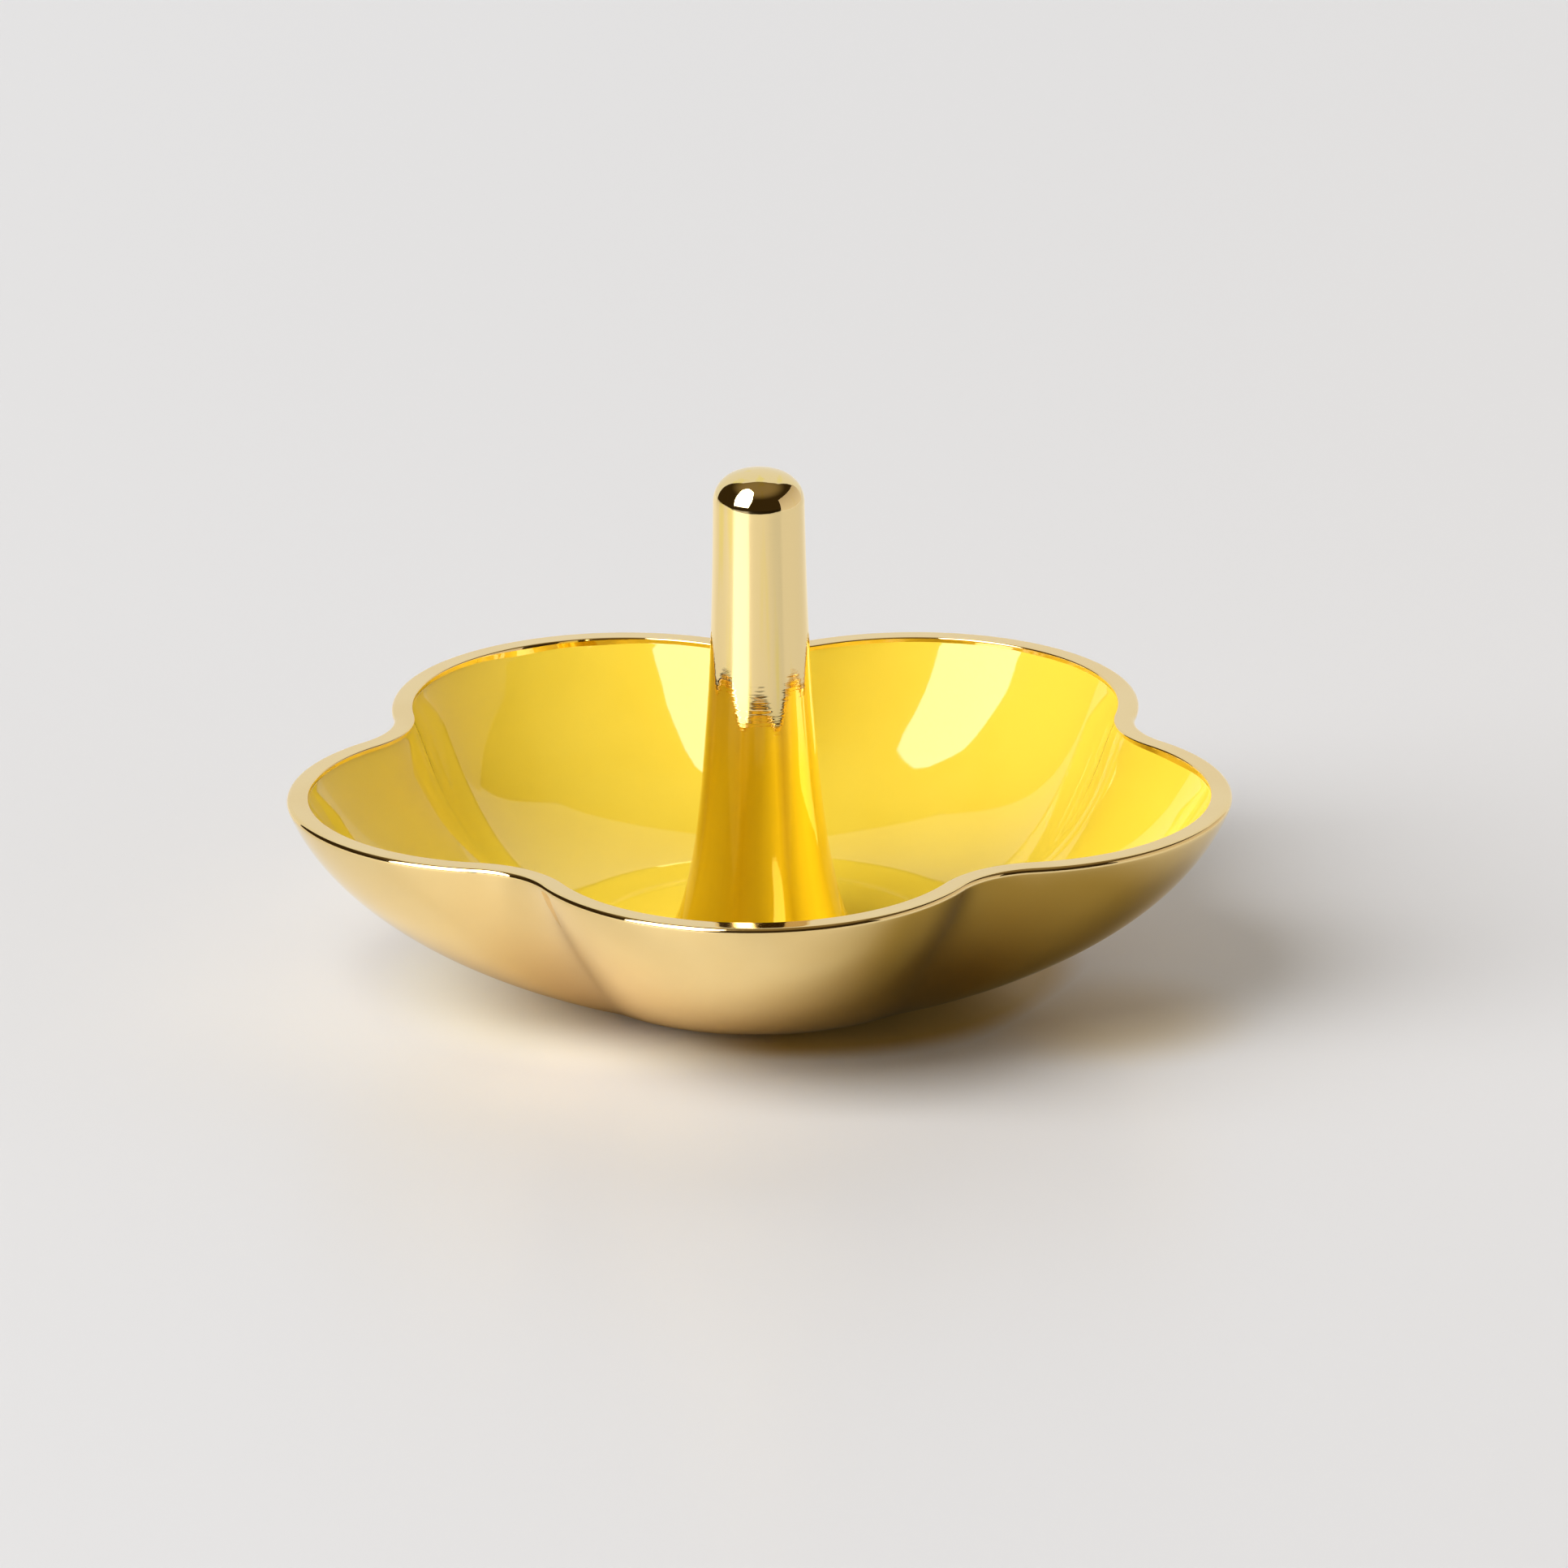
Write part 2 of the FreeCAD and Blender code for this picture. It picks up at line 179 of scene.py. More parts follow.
class PostSizes(bpy.types.PropertyGroup):
    """Sizes of the ring post."""

    height: length("Height", "Height of the post's top above the table", POST_HIGH.z)
    neck_radius: length("Neck", "Radius of the post under its rounded top", 5.37 * MM)
    neck_angle: angle("Neck slope", "Slope of the post under its rounded top", 0.86 * DEGREE)
    neck_reach: length("Neck reach", "Pull of the post's curve at the neck", 24.6 * MM)
    foot_radius: length("Foot", "Radius of the post's foot", POST_HIGH.x)
    foot_angle: angle("Foot slope", "Lean of the flare at the foot", 65.0 * DEGREE)
    foot_reach: length("Foot reach", "Pull of the post's curve at the foot", 5.8 * MM)
    foot_bottom: length("Foot bottom", "Height of the foot's underside", POST_LOW.z)
    shoulder_radius: length("Shoulder", "Radius of the rounded shoulder", 3.6 * MM)
    crown_radius: length("Crown", "Radius of the domed top", 8.0 * MM)
    step: length("Step", "How much the radius drops over the step in the polish", 0.072 * MM)
    step_height: length("Step height", "Height of the middle of the step", 33.2 * MM)
    step_length: length("Step length", "Half length of the step along the post", 2.6 * MM)
    step_fade: length("Step fade", "Distance in which the step's rise and drop fade", 12.0 * MM)
    socket_radius: length("Socket", "Radius of the socket round the boss", 7.15 * MM)
    socket_height: length("Socket top", "Height of the socket's top", 8.05 * MM)
    tap_radius: length("Tapped hole", "Radius of the tapped hole", 2.05 * MM)
    tap_height: length("Tapped hole end", "Height of the tapped hole's end", 18.3 * MM)
    columns: count("Columns", "Grid lines round the post", 256)


class PadSizes(bpy.types.PropertyGroup):
    """Sizes of the felt pad."""

    radius: length("Radius", "Radius of the pad", PAD_HIGH.x)
    bottom: length("Bottom", "Height of the pad's underside", PAD_LOW.z)
    top: length("Top", "Height of the pad's upper face", PAD_HIGH.z)
    edge: length("Edge", "Radius of the soft lower edge", 0.45 * MM)
    fray: length("Fray", "Unevenness of the cut edge", 0.06 * MM)
    columns: count("Columns", "Grid lines round the pad", 200)


class DishFinishes(bpy.types.PropertyGroup):
    """Colours of the dish's materials."""

    gold: colour("Gold", "Gold plate", (0.96, 0.745, 0.355))
    gold_deep: colour("Deep gold", "Gold plate where it is a little thicker", (0.93, 0.70, 0.31))
    # Painted shade: gold darkened low in the hollows between the petals
    gold_hollow_shade: colour("Hollow gold", "Gold plate low in the hollows", (0.76, 0.53, 0.22))
    post_gold: colour("Post gold", "Gold plate of the post, a little paler", (0.955, 0.765, 0.385))
    # Deep post gold: the plate's deep tone in upright streaks, and towards the foot a painted reflection of
    # the yellow enamel
    post_deep_and_reflection: colour("Deep post gold", "Gold plate of the post where it is thicker", (0.975, 0.775, 0.13))
    enamel: colour("Enamel", "Yellow enamel", (0.945, 0.715, 0.068))
    enamel_deep: colour("Deep enamel", "Yellow enamel where it lies thicker", (0.915, 0.680, 0.054))
    steel: colour("Zinc", "Zinc plating on the fasteners", (0.62, 0.64, 0.66))
    steel_dull: colour("Dull zinc", "Dulled zinc plating", (0.44, 0.46, 0.49))
    felt: colour("Felt", "Felt of the pad", (0.045, 0.040, 0.036))
    felt_light: colour("Light felt", "Lighter fibres of the felt", (0.11, 0.10, 0.09))


class StageSettings(bpy.types.PropertyGroup):
    """Floor, light and camera."""

    floor: colour("Floor", "Pale floor", (0.775, 0.780, 0.800))
    # Painted sheen: floor brighter away from the dish, in reflections only
    floor_far_sheen: colour("Far floor", "Floor away from the dish, in reflections", (0.93, 0.91, 0.87))
    # Painted shadow of the dish on the floor, in reflections only
    floor_shade: colour("Shaded floor", "Floor in the dish's shadow, in reflections", (0.35, 0.29, 0.12))
    # Painted light: a pool of the light that the gold throws on the floor
    floor_glow: colour("Glowing floor", "Floor in the light that the gold throws", (0.93, 0.93, 0.87))
    # Painted brown shade on the floor close under the dish
    floor_foot_shade: colour("Floor at the foot", "Floor that only brown light reaches", (0.60, 0.43, 0.13))
    ceiling: colour("Ceiling", "Brown ceiling overhead", (0.23, 0.17, 0.085))
    card_foot: colour("Card", "Glow of the white card at its foot", (0.75, 0.68, 0.62))
    card_top: colour("Card top", "Glow of the white card at its top", (0.52, 0.44, 0.38))
    softbox: factor("Softbox", "Brightness of the softbox in reflections", 6.8)
    key: factor("Key light", "Brightness of the softbox's light", 5.9)
    low_light: factor("Low light", "Brightness of the low light on the right", 3.2)
    fill: factor("Fill", "Brightness of the room for soft light", 0.03)
    backdrop: factor("Backdrop", "Brightness of the pale backdrop", 0.80)
    dim: factor("Dim room", "Brightness of the dim room in front", 0.035)
    camera_distance: length("Camera distance", "From the camera to the dish", 1.695)
    camera_height: length("Camera target", "Height that the camera is fitted to", 14.3 * MM)
    camera_azimuth: angle("Camera azimuth", "Turn of the camera to the right of the front", 1.35 * DEGREE)
    camera_elevation: angle("Camera elevation", "Height of the camera above the horizon", 19.27 * DEGREE)
    camera_roll: angle("Camera roll", "Roll of the camera", -0.5 * DEGREE)
    focal_length: focal("Focal length", "Focal length in millimetres", 330.7)


class Field:
    """Shader value that varies over a surface. Arithmetic on it adds Math nodes."""

    def __init__(self, shader, socket):
        self.shader = shader
        self.socket = socket

    def __add__(self, other):
        return self.shader.math("ADD", self, other)

    def __sub__(self, other):
        return self.shader.math("SUBTRACT", self, other)

    def __rsub__(self, other):
        return self.shader.math("SUBTRACT", other, self)

    def __mul__(self, other):
        return self.shader.math("MULTIPLY", self, other)

    def __lt__(self, other):
        return self.shader.math("LESS_THAN", self, other)

    __radd__ = __add__
    __rmul__ = __mul__

    def larger(self, other):
        """The larger of two values."""
        return self.shader.math("MAXIMUM", self, other)


class Shader:
    """Node tree under construction, for a material or for the world."""

    def __init__(self, owner):
        owner.use_nodes = True
        self.tree = owner.node_tree

    def add(self, kind, settings=None, inputs=None):
        """Adds a node: its settings first, then the values or links of its sockets. Gives its outputs."""
        node = self.tree.nodes.new(kind)
        for name, value in (settings or {}).items():
            setattr(node, name, value)
        self.feed(node, inputs or {})
        return [Field(self, socket) for socket in node.outputs]

    def feed(self, node, inputs):
        """Sets sockets to values, or links them."""
        for name, value in inputs.items():
            if isinstance(value, Field):
                self.tree.links.new(value.socket, node.inputs[name])
            else:
                node.inputs[name].default_value = value

    def named(self, node_name, inputs):
        """Feeds a node that the tree already has."""
        self.feed(self.tree.nodes[node_name], inputs)

    def math(self, operation, *values):
        """Result of a Math node on the given values."""
        return self.add("ShaderNodeMath", {"operation": operation}, dict(enumerate(values)))[0]

    def place(self):
        """Object coordinates, in metres."""
        return self.add("ShaderNodeTexCoord")[3]

    def parts(self, place):
        """The three parts of a vector."""
        return self.add("ShaderNodeSeparateXYZ", None, {0: place})

    def near(self, place, middle, inner, outer):
        """1 within the inner distance of the middle, 0 beyond the outer one, and an even fall between."""
        away = self.add("ShaderNodeVectorMath", {"operation": "DISTANCE"}, {0: place, 1: middle})[1]
        return 1 - self.ramp(away, inner, outer)

    def noise(self, place, scale, detail=2.0, stretch=(1.0, 1.0, 1.0), roughness=0.5):
        """Noise about 0.5 in cells of about 1/scale metres, drawn out by the stretch of each axis."""
        scales = tuple(scale * share for share in stretch)
        moved = self.add("ShaderNodeMapping", None, {"Vector": place, "Scale": scales})[0]
        inputs = {"Vector": moved, "Scale": 1.0, "Detail": detail, "Roughness": roughness}
        return self.add("ShaderNodeTexNoise", None, inputs)[0]

    def ramp(self, value, low, high, smooth=True):
        """0 under low, 1 over high, and an even rise between."""
        kind = "SMOOTHSTEP" if smooth else "LINEAR"
        inputs = {"Value": value, "From Min": low, "From Max": high}
        return self.add("ShaderNodeMapRange", {"interpolation_type": kind}, inputs)[0]

    def mix(self, share, first, second):
        """Colour between two colours."""
        inputs = {"Factor": share, 6: rgba(first), 7: rgba(second)}
        return self.add("ShaderNodeMix", {"data_type": "RGBA"}, inputs)[2]

    def bump(self, height, distance):
        """Normal bent by a height from 0 to 1 that stands for the distance in metres."""
        inputs = {"Height": height, "Distance": distance, "Strength": 1.0}
        return self.add("ShaderNodeBump", None, inputs)[0]


def rgba(value):
    """Colour with its alpha, or a link as it is."""
    return value if isinstance(value, Field) else (*value, 1.0)


def shaded(tint, brightness):
    """Colour of a tint at a brightness."""
    return tuple(brightness * channel for channel in tint)


def petal_radius(turn, tip, lobe, cusp):
    """Radius of the flower outline at an angle from a petal's middle.

    An arc of radius lobe, centred tip minus lobe out from the axis, reaches round the petal's tip.
    An arc of radius cusp, centred between two petals outside the outline, runs on from it tangent.
    The outline is the distance from the axis to whichever arc the angle meets.
    """
    folded = np.abs((turn + HALF_PETAL) % (2 * HALF_PETAL) - HALF_PETAL)
    lobe_centre = tip - lobe
    across = lobe_centre * np.sin(HALF_PETAL)
    cusp_centre = lobe_centre * np.cos(HALF_PETAL) + np.sqrt((lobe + cusp) ** 2 - across ** 2)
    sweep = np.arctan2(cusp_centre * np.sin(HALF_PETAL), cusp_centre * np.cos(HALF_PETAL) - lobe_centre)
    junction = np.arctan2(lobe * np.sin(sweep), lobe_centre + lobe * np.cos(sweep))
    beyond = HALF_PETAL - folded
    lobe_rest = np.maximum(lobe ** 2 - (lobe_centre * np.sin(folded)) ** 2, 0)
    cusp_rest = np.maximum(cusp ** 2 - (cusp_centre * np.sin(beyond)) ** 2, 0)
    on_lobe = lobe_centre * np.cos(folded) + np.sqrt(lobe_rest)
    on_cusp = cusp_centre * np.cos(beyond) - np.sqrt(cusp_rest)
    return np.where(folded < junction, on_lobe, on_cusp)


def round_points(radius, height, turn):
    """Points at a radius and height, turned about the post's axis from the front to the right."""
    radius, height, turn = np.broadcast_arrays(radius, height, turn)
    return np.stack([radius * np.sin(turn), -radius * np.cos(turn), height], axis=-1)


def full_turn(columns):
    """Angles of the grid lines all round the axis."""
    return np.arange(columns) * (TURN / columns)


def bezier(first, second, third, fourth, share):
    """Cubic curve through four control values: each weighs in by its Bernstein share."""
    rest = 1 - share
    start = rest ** 3 * first + 3 * rest ** 2 * share * second
    return start + 3 * rest * share ** 2 * third + share ** 3 * fourth


def bezier_rate(first, second, third, fourth, share):
    """Rate of change of the cubic curve along its share."""
    rest = 1 - share
    inner = 2 * (third - second) * rest * share
    return 3 * ((second - first) * rest ** 2 + inner + (fourth - third) * share ** 2)


def wall(sizes, share, depth):
    """Outline of the wall at a share of its way from the base (0) to the rim (1).

    The outer wall at a petal's tip is a cubic curve from the base to the rim. The arcs of the outline keep
    a share of its tip radius, which changes from the base's to the rim's by a power of that radius, and on
    the outside by the waist, which is greatest halfway. The depth under the outer face changes evenly from
    the floor's to the rim's, less a thinning that is greatest halfway. It moves the outline square to the
    wall: inwards by its sine, and upwards by its cosine. Above the rim the wall runs on straight.
    Gives tip radius, petal arc, hollow arc and height.
    """
    rim_depth, floor_depth, thinning, waist = depth
    rim_sine, rim_cosine = math.sin(sizes.rim_angle), math.cos(sizes.rim_angle)
    top_radius = sizes.tip_radius - sizes.rim_round * (1 - rim_sine)
    top_height = sizes.rim_height - sizes.rim_round * (1 + rim_cosine)
    radii = (
        sizes.base_tip_radius, sizes.base_tip_radius + sizes.base_reach * math.cos(sizes.base_angle),
        top_radius - sizes.rim_reach * rim_cosine, top_radius,
    )
    heights = (
        sizes.base_height, sizes.base_height + sizes.base_reach * math.sin(sizes.base_angle),
        top_height - sizes.rim_reach * rim_sine, top_height,
    )
    past = np.maximum(share - 1, 0)
    share = np.minimum(share, 1)
    run = bezier_rate(*radii, share)
    rise = bezier_rate(*heights, share)
    tip = bezier(*radii, share)
    height = bezier(*heights, share) + past * rise
    slope = np.arctan2(rise, run)
    spread = (tip - sizes.base_tip_radius) / (sizes.tip_radius - sizes.base_tip_radius)
    petals = 1 - (1 - spread) ** sizes.petal_fade
    base_lobe = sizes.base_lobe_radius / sizes.base_tip_radius
    base_cusp = sizes.base_cusp_radius / sizes.base_tip_radius
    halfway = 4 * spread * (1 - spread)
    lobe_share = base_lobe + (sizes.lobe_radius / sizes.tip_radius - base_lobe) * petals
    cusp_share = base_cusp + (sizes.cusp_radius / sizes.tip_radius - base_cusp) * petals
    lobe = tip * (lobe_share - waist * sizes.waist * halfway)
    cusp = tip * (cusp_share + waist * sizes.hollow_waist * halfway)
    thickness = floor_depth + (rim_depth - floor_depth) * spread - thinning * halfway
    inset = thickness * np.sin(slope) - past * run
    return tip - inset, lobe - inset, cusp + inset, height + thickness * np.cos(slope)


def inner_depth(sizes, behind):
    """Depth of what lies behind the enamel's face: at the rim, at the floor, thinning between, no waist."""
    return sizes.rim_wall - behind, sizes.floor_wall - behind, sizes.thinning, 0


def floor_height(sizes, depth):
    """Height of the level floor at a depth: that depth square to the base's slope, above the base."""
    return sizes.base_height + depth[1] * math.cos(sizes.base_angle)


def share_at_height(sizes, height, depth):
    """Share of the way up the wall at which the face at a depth reaches a height, read off a fine table."""
    past_rim, steps = 1.3, 2000
    table = np.linspace(0, past_rim, steps)
    return np.interp(height, wall(sizes, table, depth)[3], table)


def eased_floor(tip, height, crease_tip, slope, reach):
    """Height with the crease between the level floor and the sloping wall filled by a parabola.

    Within the reach of the crease the height grows by slope times (reach minus distance) squared,
    over four times the reach.
    """
    near = np.maximum(reach - np.abs(tip - crease_tip), 0)
    return height + slope * near ** 2 / (4 * reach)


def grid_mesh(name, points, closed=False, start_pole=None, end_pole=None, sharp=32 * DEGREE):
    """Mesh over a grid of points, rows along the profile and columns round the axis.

    Each cell is a four-sided face, columns wrap round, and rows wrap too where the profile is closed.
    A pole is one point that a fan of triangles joins to the first or last row.
    """
    rows, columns = points.shape[:2]
    index = np.arange(rows * columns).reshape(rows, columns)
    below = index if closed else index[:-1]
    above = np.roll(index, -1, axis=0) if closed else index[1:]
    quads = np.stack(
        [below, np.roll(below, -1, axis=1), np.roll(above, -1, axis=1), above], axis=-1
    ).reshape(-1, 4)
    vertices = [points.reshape(-1, 3)]
    fans = []
    total = rows * columns
    if start_pole is not None:
        vertices.append(np.array([start_pole]))
        fans.append(np.stack([np.full(columns, total), np.roll(index[0], -1), index[0]], axis=-1))
        total += 1
    if end_pole is not None:
        vertices.append(np.array([end_pole]))
        fans.append(np.stack([np.full(columns, total), index[-1], np.roll(index[-1], -1)], axis=-1))
    faces = quads.tolist()
    for fan in fans:
        faces += fan.tolist()
    mesh = bpy.data.meshes.new(name)
    mesh.from_pydata(np.concatenate(vertices), [], faces)
    mesh.shade_smooth()
    mesh.set_sharp_from_angle(angle=sharp)
    mesh.update()
    return mesh


def make_piece(name, points, finish, node, slot, **closing):
    """Piece on the dish's body that stands for a CAD node, made from its grid of points."""
    mesh = grid_mesh(name, points, **closing)
    mesh.materials.append(finish)
    piece = bpy.data.objects.new(name, mesh)
    bpy.context.scene.collection.objects.link(piece)
    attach(piece, BODY)
    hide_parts(node)


def rows_between(start, end, steps):
    """Rows on the straight line between two rows of points, both ends included."""
    share = np.linspace(0, 1, steps)[:, None, None]
    return start[None] * (1 - share) + end[None] * share


def spaced(start, end, steps):
    """Evenly spaced values as a column, to broadcast against the angles of a row."""
    return np.linspace(start, end, steps)[:, None]


def wall_rows(sizes, share, turn, depth):
    """Rows of points at a depth in the wall, at the given shares of its height."""
    tip, lobe, cusp, height = wall(sizes, share, depth)
    return round_points(petal_radius(turn, tip, lobe, cusp), height, turn)


def rim_rows(sizes, centre_inset, centre_height, radius, start, end, steps, turn):
    """Rows round an edge of the rim: an arc about a centre that lies inset from the rim's outline."""
    swing = spaced(start, end, steps)
    inset = centre_inset - radius * np.cos(swing)
    height = centre_height + radius * np.sin(swing)
    tip, lobe, cusp = sizes.tip_radius - inset, sizes.lobe_radius - inset, sizes.cusp_radius + inset
    return round_points(petal_radius(turn, tip, lobe, cusp), height, turn)


def bowl_points(sizes, turn):
    """Rows of the cast bowl, up the outside, over the rim, down the inside and back underneath.

    The wall is the flower outline carried along its curve, the rim's two edges are arcs, the inside is the
    wall moved in by the metal's thickness, and the boss, hole and recesses are circles at their heights.
    """
    def circle(radius, height):
        return round_points(radius, height, turn)

    metal, face = inner_depth(sizes, sizes.enamel), inner_depth(sizes, 0)
    lean = math.pi / 2 - sizes.rim_angle
    top_inset = sizes.rim_wall / math.sin(sizes.rim_angle)
    lip_turn = math.pi / 2 - lean
    lip_centre = top_inset - sizes.lip_round * math.tan(lip_turn / 2)
    ledge_share = share_at_height(sizes, lip_height(sizes, turn), metal)
    lip_share = share_at_height(sizes, lip_height(sizes, turn), face)
    outside = wall_rows(sizes, spaced(0, 1, OUTSIDE_ROWS), turn, OUTER_DEPTH)
    outer_edge = rim_rows(
        sizes, sizes.rim_round, sizes.rim_height - sizes.rim_round, sizes.rim_round,
        -lean, math.pi / 2, RIM_EDGE_ROWS, turn
    )
    inner_edge = rim_rows(
        sizes, lip_centre, sizes.rim_height - sizes.lip_round, sizes.lip_round,
        math.pi / 2, math.pi / 2 + lip_turn, LIP_EDGE_ROWS, turn
    )
    top = rows_between(outer_edge[-1], inner_edge[0], RIM_TOP_ROWS)
    lip_foot = wall_rows(sizes, lip_share[None], turn, face)[0]
    lip = rows_between(inner_edge[-1], lip_foot, LIP_ROWS)
    inside = wall_rows(sizes, ledge_share * spaced(1, 0, INSIDE_ROWS), turn, metal)
    boss_and_recesses = np.stack([
        circle(sizes.boss_radius, floor_height(sizes, metal)),
        circle(sizes.boss_radius, sizes.boss_height),
        circle(sizes.hole_radius, sizes.boss_height),
        circle(sizes.hole_radius, sizes.web_height),
        circle(sizes.counterbore_radius, sizes.web_height),
        circle(sizes.counterbore_radius, sizes.recess_top),
        circle(sizes.recess_radius, sizes.recess_top),
        circle(sizes.recess_radius, sizes.base_height),
    ])
    base = rows_between(boss_and_recesses[-1], outside[0], BASE_ROWS)[1:-1]
    rows = [outside, outer_edge[1:], top[1:], inner_edge[1:], lip[1:], inside, boss_and_recesses, base]
    return np.concatenate(rows)


def waves(turn, terms):
    """Unevenness round an edge, from -1 to 1: a sum of sine waves."""
    return sum(share * np.sin(number * turn + start) for share, number, start in terms)


def bell(turn, middle, width):
    """Bell curve round the axis, 1 at its middle, which falls with the square of the distance in widths."""
    apart = (turn - middle * DEGREE + math.pi) % TURN - math.pi
    return np.exp(-((apart / (width * DEGREE)) ** 2) / 2)


def lip_height(sizes, turn):
    """Height of the gold lip's lower edge: the ledge, less bell curves where the enamel has drawn back."""
    dip = sum(depth * bell(turn, middle, width) for middle, width, depth in LIP_DIPS)
    return sizes.ledge_height - dip


def enamel_points(sizes, turn, foot_radius):
    """Rows of the enamel layer, up its back, over its edge, down the face that shows and back at the foot.

    Its face is the wall moved in by the whole thickness, with a bead at the wavy edge. Under the edge it
    swells by a parabola and the swell fades as a bell curve. The face runs into the level floor by another
    parabola. Its back lies on the metal. Shares are of the wall's curve from the base to the rim.
    """
    edge_rise, edge_wave, proud = 0.17 * MM, 0.14 * MM, 0.05 * MM
    bead_share, swell_share, swell_fade = 0.006, 0.13, 2.5
    face_spacing = 0.9
    reach = 7.0 * MM
    metal, visible = inner_depth(sizes, sizes.enamel), inner_depth(sizes, 0)
    lip = lip_height(sizes, turn)
    edge_height = lip + edge_rise + edge_wave * waves(turn, ENAMEL_WAVES)
    edge_share = share_at_height(sizes, edge_height, visible)
    back_share = share_at_height(sizes, lip, metal)
    back = wall_rows(sizes, back_share * spaced(0, 1, BACK_ROWS), turn, metal)
    bead = np.sqrt(np.clip(1 - (1 - spaced(0, 1, BEAD_ROWS)) ** 2, 0, 1))
    edge_shares = edge_share - bead_share * spaced(0, 1, BEAD_ROWS)
    edge = wall_rows(sizes, edge_shares, turn, (visible[0] + proud * (2 * bead - 1), *visible[1:]))
    inner_shares = (edge_share - bead_share) * (1 - spaced(0, 1, FACE_ROWS)[1:] ** face_spacing)
    below = (edge_share - bead_share - inner_shares) / swell_share
    rising = np.minimum(below, 1)
    fading = np.maximum(below - 1, 0)
    uneven = 1 + THICK_SHARE * bell(turn, *THICK_PLACE)
    swell = sizes.swell * uneven * rising * (2 - rising) * np.exp(-((fading / swell_fade) ** 2))
    tip, lobe, cusp, height = wall(sizes, inner_shares, (visible[0] + proud + swell, *visible[1:]))
    crease = tip[-1:, :1]
    slope = math.tan(sizes.base_angle)
    height = eased_floor(tip, height, crease, slope, reach)
    face = round_points(petal_radius(turn, tip, lobe, cusp), height, turn)
    floor_share = spaced(0, 1, FLOOR_ROWS)[1:]
    floor_tip = crease + (foot_radius - crease) * floor_share
    ease = floor_share ** 2 * (3 - 2 * floor_share)
    floor_lobe = lobe[-1:, :1] * (1 - ease) + floor_tip * ease
    floor_level = eased_floor(floor_tip, floor_height(sizes, visible), crease, slope, reach)
    floor = round_points(petal_radius(turn, floor_tip, floor_lobe, cusp[-1:, :1]), floor_level, turn)
    back_foot = round_points(foot_radius, floor_height(sizes, metal), turn)
    return np.concatenate([back_foot[None], back, edge, face, floor])


def post_profile(sizes, foot_level):
    """Radius and height of the post's outline, from the tapped hole's end to the top of the crown.

    The flank is a cubic curve from the foot to the neck. About the step its radius drops by a hyperbolic
    tangent, faded out by a bell curve. The shoulder and the crown are two arcs that meet tangent.
    """
    offset = sizes.neck_radius - sizes.shoulder_radius
    apart = sizes.crown_radius - sizes.shoulder_radius
    crown_turn = math.asin(offset / apart)
    crown_centre = sizes.height - sizes.crown_radius
    neck_height = crown_centre + apart * math.cos(crown_turn)
    share = np.linspace(0, 1, FLANK_ROWS)
    foot_sine, foot_cosine = math.sin(sizes.foot_angle), math.cos(sizes.foot_angle)
    neck_sine, neck_cosine = math.sin(sizes.neck_angle), math.cos(sizes.neck_angle)
    flank_radius = bezier(
        sizes.foot_radius, sizes.foot_radius - sizes.foot_reach * foot_sine,
        sizes.neck_radius + sizes.neck_reach * neck_sine, sizes.neck_radius, share
    )
    flank_height = bezier(
        foot_level, foot_level + sizes.foot_reach * foot_cosine,
        neck_height - sizes.neck_reach * neck_cosine, neck_height, share
    )
    above = flank_height - sizes.step_height
    fade = np.exp(-((above / sizes.step_fade) ** 2) / 2)
    flank_radius = flank_radius - sizes.step / 2 * np.tanh(above / sizes.step_length) * fade
    shoulder = np.linspace(0, math.pi / 2 - crown_turn, SHOULDER_ROWS)[1:]
    crown = np.linspace(crown_turn, 0, CROWN_ROWS)[1:-1]
    inside = (
        (sizes.tap_radius, sizes.tap_height),
        (sizes.tap_radius, sizes.socket_height),
        (sizes.socket_radius, sizes.socket_height),
        (sizes.socket_radius, sizes.foot_bottom),
        (flank_radius[0], sizes.foot_bottom),
    )
    inside_radius, inside_height = np.array(inside).T
    shoulder_radius = offset + sizes.shoulder_radius * np.cos(shoulder)
    shoulder_height = neck_height + sizes.shoulder_radius * np.sin(shoulder)
    crown_radius = sizes.crown_radius * np.sin(crown)
    crown_height = crown_centre + sizes.crown_radius * np.cos(crown)
    radius = np.concatenate([inside_radius, flank_radius, shoulder_radius, crown_radius])
    height = np.concatenate([inside_height, flank_height, shoulder_height, crown_height])
    return radius, height


def pad_points(sizes, turn):
    """Rows of the felt pad, out along its underside, round the soft edge and up its side.

    The radius wanders by the fray, a sum of sine waves round the edge. Fans close the flat faces' hubs.
    """
    reach = sizes.radius - sizes.fray + sizes.fray * waves(turn, FRAY_WAVES)
    hub, under_rim, upper_rim = 0.1, 0.94, 0.95
    swing = spaced(-math.pi / 2, 0, PAD_EDGE_ROWS)
    under = round_points(spaced(hub, under_rim, PAD_UNDER_ROWS) * (reach - sizes.edge), sizes.bottom, turn)
    edge_radius = reach - sizes.edge * (1 - np.cos(swing))
    edge = round_points(edge_radius, sizes.bottom + sizes.edge * (1 + np.sin(swing)), turn)
    side = round_points(reach, spaced(sizes.bottom + 2 * sizes.edge, sizes.top, PAD_SIDE_ROWS), turn)
    upper = round_points(spaced(upper_rim, hub, PAD_UPPER_ROWS) * reach, sizes.top, turn)
    return np.concatenate([under, edge, side, upper])


def new_material(name):
    """Empty material and its shader tree."""
    material = bpy.data.materials.new(name)
    return material, Shader(material)


